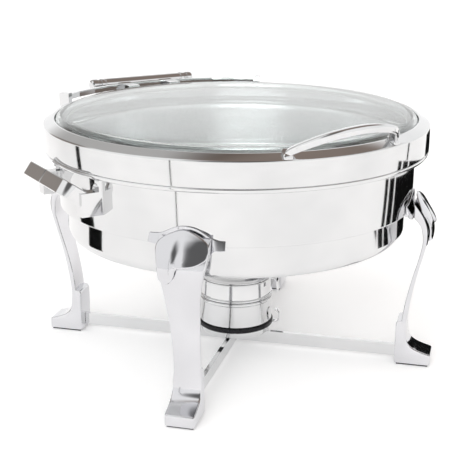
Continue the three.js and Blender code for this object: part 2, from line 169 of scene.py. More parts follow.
def metal(name, dark, light, rough, wave=0.05, grain=(1, 1, 1), grain_scale=900, grain_bump=0.02):
    """Polished or satin steel: slow colour drift, fine polishing grain and a faint sheet wave."""
    material, tree, shader = new_material(name)
    shader.inputs["Metallic"].default_value = 1.0
    drift = noise(tree, scale=14, detail=2)
    fine = noise(tree, grain_scale, detail=4, stretch=grain, roughness=0.65)
    tree.links.new(tint(tree, drift, dark, light), shader.inputs["Base Color"])
    tree.links.new(spread(tree, fine, rough[0], rough[1]), shader.inputs["Roughness"])
    slow = bump(tree, shader, noise(tree, scale=9, detail=1), wave, distance=0.002)
    bump(tree, shader, fine, grain_bump, distance=0.0002, under=slow)
    return material


POLISHED = metal("polished_steel", (0.69, 0.695, 0.70), (0.75, 0.75, 0.755), rough=(0.03, 0.075))
SPUN = metal("spun_steel", (0.67, 0.675, 0.68), (0.74, 0.742, 0.745), rough=(0.04, 0.09),
             wave=0.03, grain=(1, 1, 40), grain_scale=60, grain_bump=0.01)
SATIN = metal("satin_steel", (0.56, 0.57, 0.58), (0.66, 0.665, 0.67), rough=(0.22, 0.36),
              wave=0.03, grain=(1, 1, 8), grain_scale=500, grain_bump=0.05)
CAST = metal("cast_steel", (0.64, 0.64, 0.66), (0.71, 0.71, 0.73), rough=(0.06, 0.12),
             wave=0.08, grain_scale=700, grain_bump=0.04)
TIN = metal("can_tin", (0.52, 0.54, 0.57), (0.64, 0.65, 0.68), rough=(0.25, 0.42),
            wave=0.1, grain=(1, 1, 12), grain_scale=300, grain_bump=0.06)


def plain(name, dark, light, rough, scale, height):
    """Rubber, resin and gel: mottled colour, uneven sheen and a fine moulded bump."""
    material, tree, shader = new_material(name)
    mottle = noise(tree, scale, detail=5)
    tree.links.new(tint(tree, mottle, dark, light), shader.inputs["Base Color"])
    tree.links.new(spread(tree, mottle, rough[0], rough[1]), shader.inputs["Roughness"])
    bump(tree, shader, mottle, height, distance=0.0004)
    return material


RUBBER = plain("rubber", (0.012, 0.012, 0.014), (0.035, 0.035, 0.038), rough=(0.62, 0.85),
               scale=900, height=0.25)
RESIN = plain("black_resin", (0.003, 0.003, 0.004), (0.010, 0.010, 0.012), rough=(0.16, 0.28),
              scale=600, height=0.06)
RESIN.node_tree.nodes["Principled BSDF"].inputs["Specular IOR Level"].default_value = 0.22
GEL = plain("fuel_gel", (0.25, 0.45, 0.55), (0.42, 0.62, 0.70), rough=(0.2, 0.35),
            scale=160, height=0.4)


def glass_material():
    """Clear, faintly green glass with an uneven polish."""
    material, tree, shader = new_material("clear_glass")
    shader.inputs["Transmission Weight"].default_value = 1.0
    shader.inputs["IOR"].default_value = 1.5
    haze = noise(tree, scale=30, detail=4)
    tree.links.new(tint(tree, haze, (0.90, 0.955, 0.94), (0.96, 0.985, 0.98)), shader.inputs["Base Color"])
    tree.links.new(spread(tree, haze, 0.0, 0.025), shader.inputs["Roughness"])
    bump(tree, shader, noise(tree, scale=5, detail=1), strength=0.02, distance=0.001)
    return material


GLASS = glass_material()


# ------------------------------------------------------------- mesh helpers

def make_object(name, bm, material, smooth_angle=32):
    """Object in metres from a bmesh in millimetres; edges bent by less than the angle are smooth."""
    bmesh.ops.scale(bm, vec=(MM, MM, MM), verts=bm.verts)
    bmesh.ops.remove_doubles(bm, verts=bm.verts, dist=1e-7)
    bmesh.ops.recalc_face_normals(bm, faces=bm.faces)
    limit = math.radians(smooth_angle)
    for face in bm.faces:
        face.smooth = True
    for edge in bm.edges:
        if len(edge.link_faces) == 2:
            edge.smooth = edge.calc_face_angle() < limit
    mesh = bpy.data.meshes.new(name)
    bm.to_mesh(mesh)
    bm.free()
    mesh.materials.append(material)
    obj = bpy.data.objects.new(name, mesh)
    bpy.context.scene.collection.objects.link(obj)
    return obj


def place(obj, body, slot, *nodes):
    """Sets a piece's body and hides the CAD nodes that it stands for; the material slot is not used."""
    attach(obj, body)
    if nodes:
        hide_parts(*nodes)


def rounded(points, steps=4):
    """Outline with its corners rounded: each point is (x, y) or (x, y, corner radius)."""
    out = []
    count = len(points)
    for i, point in enumerate(points):
        here = Vector(point[:2])
        radius = point[2] if len(point) > 2 else 0
        if radius <= 0:
            out.append(here)
            continue
        before = Vector(points[i - 1][:2]) - here
        after = Vector(points[(i + 1) % count][:2]) - here
        reach = min(radius, before.length * 0.48, after.length * 0.48)
        start = here + before.normalized() * reach
        end = here + after.normalized() * reach
        for k in range(steps + 1):
            t = k / steps
            out.append(start * (1 - t) ** 2 + here * 2 * t * (1 - t) + end * t * t)
    return out


def turned(bm, points, sides, steps=4, axis="Z"):
    """Adds a turned solid.

    Points are (radius, height, corner radius); the outline ends on the axis or closes on itself.
    """
    outline = rounded(points, steps)
    rings = []
    for p in outline:
        ring = []
        count = 1 if p.x < 1e-6 else sides
        for k in range(count):
            a = 2 * math.pi * k / sides
            c, s = p.x * math.cos(a), p.x * math.sin(a)
            ring.append(bm.verts.new((c, s, p.y) if axis == "Z" else (p.y, c, s)))
        rings.append(ring)
    for lower, upper in zip(rings, rings[1:] + rings[:1]):
        if len(lower) == 1 and len(upper) == 1:
            continue
        for k in range(sides):
            corners = [lower[k % len(lower)], lower[(k + 1) % len(lower)],
                       upper[(k + 1) % len(upper)], upper[k % len(upper)]]
            bm.faces.new(list(dict.fromkeys(corners)))


def lathe(name, points, material, sides, steps=4):
    """A turned piece as an object."""
    bm = bmesh.new()
    turned(bm, points, sides, steps)
    return make_object(name, bm, material)


def loft(bm, rings):
    """Joins rings of points with equal counts and closes both ends."""
    rows = [[bm.verts.new(p) for p in ring] for ring in rings]
    count = len(rows[0])
    for lower, upper in zip(rows, rows[1:]):
        for k in range(count):
            bm.faces.new((lower[k], lower[(k + 1) % count], upper[(k + 1) % count], upper[k]))
    for row in (rows[0], rows[-1]):
        middle = bm.verts.new(sum((v.co for v in row), Vector()) / count)
        for k in range(count):
            bm.faces.new((row[k], row[(k + 1) % count], middle))


def curve(knots):
    """Smooth function through (position, value) knots, with slopes from the neighbours."""
    xs = [k[0] for k in knots]
    ys = [k[1] for k in knots]
    last = len(xs) - 1
    slopes = []
    for i in range(last + 1):
        a, b = max(i - 1, 0), min(i + 1, last)
        slopes.append((ys[b] - ys[a]) / (xs[b] - xs[a]))

    def at(x):
        if x <= xs[0]:
            return ys[0]
        if x >= xs[last]:
            return ys[last]
        i = max(k for k in range(last) if xs[k] <= x)
        h = xs[i + 1] - xs[i]
        t = (x - xs[i]) / h
        return ((2 * t ** 3 - 3 * t ** 2 + 1) * ys[i] + (t ** 3 - 2 * t ** 2 + t) * h * slopes[i]
                + (3 * t ** 2 - 2 * t ** 3) * ys[i + 1] + (t ** 3 - t ** 2) * h * slopes[i + 1])

    return at


def spin_copy(obj, name, degrees):
    """A copy of obj turned about Z, with the turn put into its mesh."""
    copy = obj.copy()
    copy.data = obj.data.copy()
    copy.name = name
    copy.data.transform(Matrix.Rotation(math.radians(degrees), 4, "Z"))
    bpy.context.scene.collection.objects.link(copy)
    return copy


def span(low, high, count):
    """Evenly spaced values from low to high."""
    return [low + (high - low) * k / (count - 1) for k in range(count)]


# ------------------------------------------------------------------ the pan

def water_pan():
    """Spun shell with a step in its wall, and the rolled rim round its top."""
    inner = WALL_R - SHEET
    floor_top = PAN_Z + SHEET
    shell = lathe("pan_shell", [
        (0, PAN_Z), (BAND_R - 11.7, PAN_Z, 6), (BAND_R - 4.2, PAN_Z + 2.6, 6),
        (BAND_R - 0.5, PAN_Z + 9.4, 5), (BAND_R, STEP_Z - 0.2, 1.6), (WALL_R, STEP_Z, 1.8),
        (WALL_R, PAN_TOP, 0.5), (inner, PAN_TOP, 0.5), (inner, STEP_Z + SHEET, 1.5),
        (BAND_R - SHEET, STEP_Z + 1.4, 1.5), (BAND_R - 2.1, PAN_Z + 10.4, 5),
        (BAND_R - 5.3, PAN_Z + 4.4, 5), (BAND_R - 11.9, floor_top, 5), (0, floor_top),
    ], SPUN, SHELL_SIDES)
    place(shell, "pan", "polished_steel", "water_pan")
    low, high = RIM_LOW.z, RIM_HIGH.z + 0.4
    rim = lathe("pan_rolled_rim", [
        (WALL_R + 0.3, low, 0.6), (RIM_R - 1.8, low, 1.4), (RIM_R - 0.2, low + 1.8, 1.4),
        (RIM_R - 0.2, high - 0.9, 0.6), (RIM_R - 1, high, 0.4), (WALL_R + 0.3, high, 0.4),
    ], POLISHED, SHELL_SIDES, steps=6)
    place(rim, "pan", "polished_steel", "pan_rim")


def food_pan():
    """Pressed pan whose beaded flange rests on the water pan's rim."""
    low, top = FOOD_LOW.z, FOOD_HIGH.z
    floor_top = low + SHEET
    lip = FOOD_HIGH.x
    flange = PAN_TOP + 0.4
    shell = lathe("food_pan_shell", [
        (0, low), (184, low, 8), (191.6, low + 7, 8), (197, flange, 1.2), (lip, flange, 0.8),
        (lip, flange + 1.7, 0.8), (204.6, flange + 1.7, 1.4), (202.8, top - 0.6, 2), (199.6, top + 0.3, 2.2),
        (196.6, top - 1, 2), (195.3, flange + 1.5, 2), (190.1, low + 8, 8), (183.5, floor_top, 8),
        (0, floor_top),
    ], SATIN, SHELL_SIDES)
    place(shell, "pan", "satin_steel", "food_pan")


# ------------------------------------------------------------------ the lid

def lid():
    """Ring with a skirt, a bevel and a ledge; the glass lies on a gasket on that ledge."""
    low, top = RING_LOW.z, RING_HIGH.z
    edge = top - 5.9
    ledge = GASKET_LOW.z - 0.3
    seat = GLASS_R + 0.5
    ring = lathe("lid_skirt_ring", [
        (RIM_R - 2.2, low, 0.6), (RIM_R, low, 0.9), (RIM_R, edge, 1.6), (seat + 2.4, top - 0.1, 0.9),
        (seat + 1, top, 0.6), (seat, top - 1, 0.4), (seat, ledge, 0.3), (LEDGE_R, ledge, 0.4),
        (LEDGE_R, ledge - SHEET, 0.4), (seat + SHEET, ledge - SHEET, 0.6), (seat + SHEET, top - 3.2, 1),
        (RIM_R - 2.8, top - 7.7, 1.5),
    ], SPUN, SHELL_SIDES, steps=5)
    place(ring, "lid", "polished_steel", "lid_ring")
    under, over = GASKET_LOW.z, GASKET_HIGH.z
    inner = LEDGE_R + 0.8
    gasket = lathe("lid_gasket_ring", [
        (inner, under, 0.3), (GLASS_R, under, 0.3), (GLASS_R, over, 0.3), (inner, over, 0.3),
    ], RUBBER, GLASS_SIDES)
    place(gasket, "lid", "rubber", "lid_gasket")
    base, crown = GLASS_LOW.z, GLASS_HIGH.z
    glass = lathe("lid_window", [
        (0, crown - 4), (60, crown - 4.3, 30), (130, crown - 5.9, 30), (GLASS_R - 29.5, base + 8.6, 20),
        (GLASS_R - 10, base + 6.4, 6), (GLASS_R - 5.2, base + 3.6, 3), (GLASS_R - 3.8, base, 0.4),
        (GLASS_R, base, 0.6), (GLASS_R, base + 3.2, 1.5), (GLASS_R - 1.2, base + 6, 2.5),
        (GLASS_R - 4.2, base + 8.6, 3), (GLASS_R - 9.2, base + 10.5, 5), (GLASS_R - 29, base + 12.6, 20),
        (130, crown - 1.9, 30), (60, crown - 0.3, 30), (0, crown),
    ], GLASS, GLASS_SIDES, steps=6)
    place(glass, "lid", "clear_glass", "lid_glass")


def rounded_section(half_wide, half_high, radius, steps=4):
    """Rounded rectangle round the origin, anticlockwise."""
    return rounded([
        (half_wide, -half_high, radius), (half_wide, half_high, radius),
        (-half_wide, half_high, radius), (-half_wide, -half_high, radius),
    ], steps)


def lid_handle():
    """Arched strap across the front of the ring, leaning outward, with a foot at each end."""
    across = curve([(-1, -206.5), (-0.95, -210.5), (-0.86, -220.5), (-0.56, -237), (0, -244),
                    (0.56, -237), (0.86, -220.5), (0.95, -210.5), (1, -206.5)])
    up = curve([(-1, 288.4), (-0.95, 292.2), (-0.86, 298), (-0.56, 308.2), (0, 313.5),
                (0.56, 308.2), (0.86, 298), (0.95, 292.2), (1, 288.4)])
    steps = 64
    spots = []
    for k in range(steps + 1):
        s = math.sin((k / steps - 0.5) * math.pi)
        spots.append(Vector((HANDLE_HALF * s, across(s), up(s))))
    rings = []
    for k, at in enumerate(spots):
        along = (spots[min(k + 1, steps)] - spots[max(k - 1, 0)]).normalized()
        lean = Vector((at.x * 0.006, -1, 0.1)).normalized()
        side = lean.cross(along).normalized()
        out = along.cross(side).normalized()
        taper = 0.7 + 0.3 * math.sin(math.pi * k / steps) ** 0.7
        rings.append([at + out * p.x + side * p.y
                      for p in rounded_section(5.4 * taper, 4.5 * taper, 3.0 * taper, steps=5)])
    bm = bmesh.new()
    loft(bm, rings)
    foot_y, foot_turn, gap = -207, 18, 0.35
    bevel_start, bevel_fall = 212.4, 0.54
    for side in (-1, 1):
        turn = math.radians(side * foot_turn)
        block = []
        for lift, grow in ((0, 1.0), (2.6, 1.0), (4.0, 0.82), (4.4, 0.55)):
            ring = []
            for p in rounded_section(5.0 * grow, 5.6 * grow, 2.2 * grow):
                x = side * HANDLE_HALF + p.x * math.cos(turn) - p.y * math.sin(turn)
                y = foot_y + p.x * math.sin(turn) + p.y * math.cos(turn)
                under = RING_HIGH.z + gap - max(0, math.hypot(x, y) - bevel_start) * bevel_fall
                ring.append(Vector((x, y, under + lift)))
            block.append(ring)
        loft(bm, block)
    obj = make_object("lid_arch_handle", bm, POLISHED)
    place(obj, "lid", "polished_steel", "lid_handle")


# ---------------------------------------------------------------- the hinge

def shifted(obj, x, y, z):
    """The object with its mesh moved, in millimetres."""
    obj.data.transform(Matrix.Translation(Vector((x, y, z)) * MM))
    return obj


def hinge():
    """Barrel on the lid, with a groove near each end, and the caps at both ends of its pin."""
    half = BARREL_HIGH.x
    r = BARREL_R
    bore = 3.4
    groove = 4.5
    bm = bmesh.new()
    turned(bm, [
        (bore, -half, 0.2), (r, -half, 0.8), (r, -half + groove, 0.3), (r - 0.8, -half + groove + 0.4, 0.2),
        (r - 0.8, -half + groove + 1.8, 0.2), (r, -half + groove + 2.2, 0.3),
        (r, half - groove - 2.2, 0.3), (r - 0.8, half - groove - 1.8, 0.2),
        (r - 0.8, half - groove - 0.4, 0.2), (r, half - groove, 0.3), (r, half, 0.8), (bore, half, 0.2),
    ], sides=64, axis="X")
    barrel = shifted(make_object("hinge_barrel_tube", bm, POLISHED), 0, HINGE_Y, HINGE_Z)
    place(barrel, "lid", "polished_steel", "hinge_barrel")
    for name, side in (("l", -1), ("r", 1)):
        low, high = mm_box("hinge_cap_" + name)
        inner = min(abs(low.x), abs(high.x)) * side
        outer = max(abs(low.x), abs(high.x)) * side
        bm = bmesh.new()
        turned(bm, [
            (0, outer), (6.4, outer, 2.6), (8.2, outer - 2.6 * side, 1.6), (8.2, inner, 0.7),
            (3.4, inner, 0.2), (3.4, outer - 1.8 * side, 0.2), (0, outer - 1.8 * side),
        ], sides=48, axis="X")
        cap = shifted(make_object("hinge_end_cap_" + name, bm, POLISHED), 0, HINGE_Y, HINGE_Z)
        place(cap, "pan", "polished_steel", "hinge_cap_" + name)


# ------------------------------------------------------------ side handles

def side_handles():
    """Flat strap bent to a D in a plane that rises outward from its two brackets."""
    rise = math.radians(35.6)
    reach, arm, bend = 31.8, 55.4, 11.6
    quarter = math.pi / 2
    bend_steps = 14
    path = [Vector((-5.4, -arm)), Vector((-4.9, -arm)), Vector((4, -arm)), Vector((12, -arm)),
            Vector((reach - bend - 2, -arm))]
    for k in range(bend_steps + 1):
        a = -quarter + quarter * k / bend_steps
        path.append(Vector((reach - bend + bend * math.cos(a), -arm + bend + bend * math.sin(a))))
    path += [Vector((reach, y)) for y in (-arm + bend + 3, -30, -18, -1.5, -1.1, -0.5, 0)]
    path += [Vector((p.x, -p.y)) for p in reversed(path[:-1])]
    plane_out = Vector((math.cos(rise), 0, math.sin(rise)))
    plane_up = Vector((-math.sin(rise), 0, math.cos(rise)))
    root = Vector((214, 0, 223.5))
    rings = []
    last = len(path) - 1
    for i, p in enumerate(path):
        along = (path[min(i + 1, last)] - path[max(i - 1, 0)]).normalized()
        normal = plane_out * along.y - Vector((0, 1, 0)) * along.x
        centre = root + plane_out * p.x + Vector((0, p.y, 0))
        trim = 0.6 if i in (0, last) or abs(p.y) < 0.8 else 0    # eased ends and a groove in the middle
        rings.append([centre + normal * q.x + plane_up * q.y
                      for q in rounded_section(2.45 - trim, 8.4 - trim, 1.6)])
    bm = bmesh.new()
    loft(bm, rings)
    base = make_object("side_strap", bm, POLISHED)
    for name, degrees in (("r", 0), ("l", 180)):
        strap = spin_copy(base, "side_strap_" + name, degrees)
        place(strap, "pan", "polished_steel", "side_handle_" + name)
    bpy.data.objects.remove(base)


# --------------------------------------------------------------- the stand

def legs():
    """Bowed leg with its toe pointing out, lofted from the foot up to the saddle."""
    outer = curve([
        (14.6, 239.0), (15.4, 236.5), (18, 228), (20.6, 221.6), (23.6, 216.8), (27.5, 213.4), (33, 211.4),
        (42, 210.6), (52, 210.6), (68, 212.2), (84, 214.6), (102, 218), (120, 222), (134, 225.5),
        (148, 228.6), (157, 230.0), (165, 230.5), (173, 229.6), (180, 227.5), (187, 224.4), (193, 220.5),
        (201.2, 213.4),
    ])
    inner = curve([
        (54.6, 204.2), (68, 205.6), (82, 207.9), (98, 211.2), (114, 215.1), (128, 218.8), (142, 221.9),
        (154, 223.8), (162, 223.6), (169, 222.4), (175, 220.4), (180, 217.0), (184, 213.4), (188, 213.0),
        (204, 213.0),
    ])
    half = curve([
        (2, 16.4), (40, 16.1), (50, 15.2), (54, 15), (86, 15.6), (112, 17), (140, 19.4), (162, 23),
        (184, 27), (204, 28),
    ])
    heights = [2.0, 2.5, 3.4, 8, 12.6, 13.8, 14.4, 14.8, 15.2, 15.8, 16.6, 17.6, 18.8, 20, 21.4, 23, 25,
               27.5, 30, 33, 37, 42, 46, 49.4, 51.6, 53, 53.7, 54.0, 54.6] + span(57, 201.0, 62)
    toe_top, instep = 12.6, 14.6
    heel_top, arch = 49.4, 54.0

    def far_side(z):
        if z <= toe_top:
            return TOE_R
        if z < instep:
            return TOE_R - 0.8 * ((z - toe_top) / (instep - toe_top)) ** 2
        return outer(z)

    def near_side(z):
        if z < heel_top:
            return HEEL_R
        if z <= arch:
            return HEEL_R + 1.6 * ((z - heel_top) / (arch - heel_top)) ** 2
        return inner(z)

    rings = []
    for z in heights:
        far, near, w = far_side(z), near_side(z), half(z)
        pinch = 0.5 if z == heights[0] else 0
        ridge = 1.3 * min(1, max(0, (z - 14) / 30))
        section = rounded([
            (far - ridge - pinch, -w + pinch, 2.2), (far - pinch, -0.22 * w, 3.0),
            (far - 0.6 * ridge - pinch, w - pinch, 2.2), (near + pinch, w - pinch, 1.6),
            (near + pinch, -w + pinch, 1.6),
        ])
        rings.append([Vector((p.x, p.y, z)) for p in section])
    bm = bmesh.new()
    loft(bm, rings)
    base = make_object("leg_casting", bm, CAST, smooth_angle=40)
    for name, degrees in LEG_ANGLES.items():
        leg = spin_copy(base, "leg_casting_" + name, degrees)
        place(leg, "stand", "cast_steel", "leg_" + name)
    bpy.data.objects.remove(base)


def saddles():
    """Winged saddle: a bar that follows the pan wall, domed in the middle, with a ledge under its step."""
    tip = SADDLE_HALF
    top = curve([(0, 211.4), (6, 211.0), (12, 209.4), (18, 206.9), (24, 203.9), (30, 201.8), (tip, 200.9)])
    bottom = curve([
        (0, 181.4), (24, 181.6), (26, 183.6), (28, 187.4), (31, 190), (36, 190.8), (tip, 191.4),
    ])
    wall = WALL_R + 0.5
    rings = []
    for t in [-tip, 0.4 - tip] + span(1 - tip, tip - 1, 57) + [tip - 0.4, tip]:
        pinch = 0.5 if abs(t) == tip else 0
        droop = WING_DROOP * min(1, max(0, (t - 14) / 22))
        z0 = bottom(abs(t)) + pinch - droop
        z1 = top(abs(t)) - pinch - droop
        face = SADDLE_R - pinch
        section = rounded([
            (wall + pinch, z0, 1.0), (face, z0, 1.0), (face, z0 + 0.8, 0.8), (face - 3.2, z1 - 0.6, 0.8),
            (face - 3.5, z1, 0.4), (wall + pinch, z1, 0.4),
        ])
        turn = t / SADDLE_R
        rings.append([Vector((p.x * math.cos(turn), p.x * math.sin(turn), p.y)) for p in section])
    bm = bmesh.new()
    loft(bm, rings)
    ledge_low, ledge_top = 183.2, 189.5
    ledge_in, ledge_out = 202, 211
    ledge = []
    for t in span(-25.5, 25.5, 13):
        turn = t / 212.0
        section = rounded([
            (ledge_in, ledge_low + 1.8, 0.6), (ledge_out, ledge_low, 0.6), (ledge_out, ledge_top, 0.4),
            (ledge_in, ledge_top, 0.8),
        ], steps=3)
        ledge.append([Vector((p.x * math.cos(turn), p.x * math.sin(turn), p.y)) for p in section])
    loft(bm, ledge)
    base = make_object("saddle_bar", bm, CAST, smooth_angle=40)
    for name, degrees in LEG_ANGLES.items():
        saddle = spin_copy(base, "saddle_bar_" + name, degrees)
        place(saddle, "stand", "cast_steel", "saddle_" + name)
    bpy.data.objects.remove(base)


def leaves():
    """Leaf over the knee of the leg: a long lobe on one side of a crease, a short one on the other."""
    long_face = curve([
        (155.4, 234.3), (160, 235.7), (165, 236.2), (170, 236.3), (175, 235.5), (180, 233.9),
        (188.5, 229.7), (194, 226.1), (199, 222.3), (203, 218.9), (206, 216.5), (208.6, 214.4),
    ])
    short_face = curve([
        (155.4, 235.6), (168, 236.4), (174.6, 236.8), (177, 236.2), (182, 233.3), (188.5, 229.2),
        (194, 225.7), (199, 222.1), (203, 218.9), (206, 216.5), (208.6, 214.4),
    ])
    long_edge = curve([
        (156, -16.6), (156.8, -19.2), (158.8, -21.6), (163, -23.6), (172, -24.6), (182, -26.4), (191, -28.3),
        (197, -26.4), (202, -21), (206, -13), (208.6, -4),
    ])
    short_edge = curve([
        (156, -14.4), (156.8, -12), (158.8, -9.8), (162, -7.6), (166, -5.8), (170.6, -4.6), (173.4, -2.2),
        (174.6, 2), (175.4, 8), (176.6, 14), (179, 20), (183, 26), (187, 27.6), (191, 28.3), (197, 26.4),
        (202, 21), (206, 13), (208.6, 4),
    ])
    heights = span(156, 173, 20) + span(173.4, 180, 18) + span(181, 203, 24) + span(203.6, 208.4, 10)
    across = 26
    crease_at, crease_wide, crease_deep = -4.0, 3.0, 1.3
    rings = []
    for z in heights:
        t0, t1 = long_edge(z), short_edge(z)
        face = long_face(z)
        thick = 3.2 if z < 200 else max(1.0, min(3.2, face - 212.9))
        front, back = [], []
        for k in range(across + 1):
            u = -math.cos(math.pi * k / across)
            t = (t0 + t1) / 2 + u * (t1 - t0) / 2
            edge = math.sqrt(max(0.0, 1 - u ** 4))
            blend = min(1, max(0, (t + 5) / 5))
            bulge = -0.0045 * t * t * min(1, max(0.15, (212 - z) / 20))
            fade = min(1, max(0, (204 - z) / 16))
            crease = crease_deep * math.exp(-((t - crease_at) / crease_wide) ** 2) * fade
            r = face + (short_face(z) - face) * blend + bulge - crease
            front.append(Vector((r - thick / 2 + thick / 2 * edge, t, z)))
            back.append(Vector((r - thick / 2 - thick / 2 * edge, t, z)))
        rings.append(front + back[-2:0:-1])
    bm = bmesh.new()
    loft(bm, rings)
    base = make_object("knee_leaf", bm, CAST, smooth_angle=50)
    for name, degrees in LEG_ANGLES.items():
        leaf = spin_copy(base, "knee_leaf_" + name, degrees)
        place(leaf, "stand", "cast_steel", "leaf_" + name)
    bpy.data.objects.remove(base)


# --------------------------------------------------------------- the burner

def curve_path(points):
    """Smooth run of 28 points through the given ones, evenly spread over their parameter."""
    xs = curve([(k, p[0]) for k, p in enumerate(points)])
    ys = curve([(k, p[1]) for k, p in enumerate(points)])
    return [Vector((xs(t), ys(t))) for t in span(0, len(points) - 1, 28)]


def strip_piece(name, path, width, thick, degrees):
    """Bent strip: path holds (radius, height), the width lies along the tangent at the given angle."""
    turn = Matrix.Rotation(math.radians(degrees), 3, "Z")
    rings = []
    last = len(path) - 1
    for i, p in enumerate(path):
        along = (path[min(i + 1, last)] - path[max(i - 1, 0)]).normalized()
        rings.append([turn @ Vector((p.x - along.y * q.y, q.x, p.y + along.x * q.y))
                      for q in rounded_section(width / 2, thick / 2, thick * 0.35, steps=3)])
    bm = bmesh.new()
    loft(bm, rings)
    return make_object(name, bm, POLISHED)


def snuffer():
    """Stepped lid for the flame, with an ear round its pin and a bent lever to push it with."""
    bm = bmesh.new()
    turned(bm, [
        (0, 91.6), (30, 91.6, 1), (36, 90.4, 1), (43.4, 90.4, 0.4), (43.8, 91.2, 0.4), (43.4, 92, 0.4),
        (36.6, 92, 1), (30.6, 93.2, 1), (0, 93.2),
    ], BURNER_SIDES)
    disc = make_object("snuffer_disc", bm, POLISHED)
    place(disc, "snuffer", "polished_steel", "snuffer_lid")
    bm = bmesh.new()
    turned(bm, [(1.9, 90.4, 0.2), (4.6, 90.4, 0.4), (4.6, 92, 0.4), (1.9, 92, 0.2)], sides=32)
    ear = shifted(make_object("snuffer_ear", bm, POLISHED), PIVOT.x, PIVOT.y, 0)
    place(ear, "snuffer", "polished_steel")
    lever = strip_piece("snuffer_lever", curve_path([
        (42.8, 91.2), (49.6, 91.2), (52.4, 89.6), (53.4, 86), (54.0, 81), (54.6, 77.2),
    ]), width=8, thick=SHEET, degrees=LEVER_TURN)
    place(lever, "snuffer", "polished_steel")


def collar():
    """Beaded collar of the holder, with a webbed lug that takes the snuffer's pin."""
    bm = bmesh.new()
    turned(bm, [
        (41.2, 67.1, 0.4), (43.6, 67.1, 0.6), (44.9, 68.2, 0.8), (44.9, 69.6, 0.8), (43.1, 70.6, 0.8),
        (42.8, 88.6, 0.8), (43.8, 90, 0.5), (41.2, 90, 0.4),
    ], BURNER_SIDES)
    lug = bmesh.new()
    turned(lug, [(1.9, 80, 0.2), (3.9, 80, 0.5), (3.9, 90, 0.5), (1.9, 90, 0.2)], sides=32)
    bmesh.ops.translate(lug, vec=PIVOT, verts=lug.verts)
    turn = Matrix.Rotation(math.radians(PIVOT_TURN), 3, "Z")
    web = []
    for out in span(42.4, 46.6, 3):
        web.append([turn @ Vector((out, q.x, 85 + q.y))
                    for q in rounded_section(2.5, 4.5, 0.8, steps=3)])
    loft(lug, web)
    lug_mesh = bpy.data.meshes.new("lug")
    lug.to_mesh(lug_mesh)
    lug.free()
    bm.from_mesh(lug_mesh)
    bpy.data.meshes.remove(lug_mesh)
    place(make_object("burner_top_collar", bm, POLISHED), "burner", "polished_steel", "burner_collar")


def burner():
    """Dish, heat ring, holder cup, fuel can, collar, curled grip and gel, from the bars up."""
    low = CUP_LOW.z
    r = CUP_HIGH.x - 0.5
    dish = lathe("burner_base_dish", [
        (0, 20.4), (38, 20.4, 3), (42.6, 22, 2.4), (44.6, 29.3, 0.5), (42.8, 29.3, 0.5), (41, 23.6, 2.4),
        (37.6, 22, 3), (0, 22),
    ], POLISHED, BURNER_SIDES)
    place(dish, "burner", "polished_steel", "burner_dish")
    ring = lathe("burner_heat_ring", [
        (36, 29.6, 0.5), (46, 29.6, 1.6), (46, 35.3, 1.4), (36, 35.3, 0.5),
    ], RESIN, BURNER_SIDES, steps=6)
    place(ring, "burner", "black_plastic", "burner_ring")
    cup = lathe("burner_holder_cup", [
        (0, low), (r, low, 1.4), (43.5, 62.4, 0.8), (44.9, 63.6, 0.9), (44.9, 65.8, 0.9), (43.2, 66.8, 0.6),
        (41.6, 66.8, 0.4), (41.6, low + SHEET, 1.5), (0, low + SHEET),
    ], POLISHED, BURNER_SIDES)
    place(cup, "burner", "polished_steel", "burner_cup")
    can = lathe("gel_can", [
        (0, 37.6), (38.2, 37.6, 1), (38.8, 39, 0.5), (38.8, 42, 0.4), (38.2, 42.8, 0.4), (38.2, 80.2, 0.4),
        (38.8, 81, 0.4), (38.8, 85.6, 0.9), (37.2, 85.6, 0.6), (36.4, 84.2, 0.8), (13.4, 84, 0.8),
        (12.2, 86, 0.7), (9.6, 86, 0.5), (9.4, 83, 0.3), (37.4, 83, 0.3), (37.4, 38.9, 0.5), (0, 38.9),
    ], TIN, BURNER_SIDES)
    place(can, "burner", "can_tin", "fuel_can")
    collar()
    grip = strip_piece("burner_curl_grip", curve_path([
        (46.4, 31.8), (50.5, 32.4), (53.4, 34.8), (54.6, 39.5), (53.8, 44.2), (51.4, 46.8), (48.9, 47.4),
    ]), width=9, thick=1.5, degrees=GRIP_TURN)
    place(grip, "burner", "polished_steel", "burner_grip")
    gel = lathe("gel_surface", [
        (0, 39.2), (37, 39.2, 0.5), (37, 82.6, 0.8), (9, 82.6, 2), (4, 81.8, 2), (0, 82),
    ], GEL, sides=64)
    place(gel, "burner", "fuel_gel", "fuel_gel")


# ---------------------------------------------------- CAD nodes kept as they are

def dress(name, material, width):
    """Gives a CAD node its finish, smooth shading and a small machined bevel."""
    obj = NODES[name]
    obj.data.materials.clear()
    obj.data.materials.append(material)
    for polygon in obj.data.polygons:
        polygon.use_smooth = True
    bevel = obj.modifiers.new("edge_round", "BEVEL")
    bevel.width = width * MM
    bevel.segments = 3
    bevel.limit_method = "ANGLE"
    bevel.angle_limit = math.radians(35)
    bevel.harden_normals = True


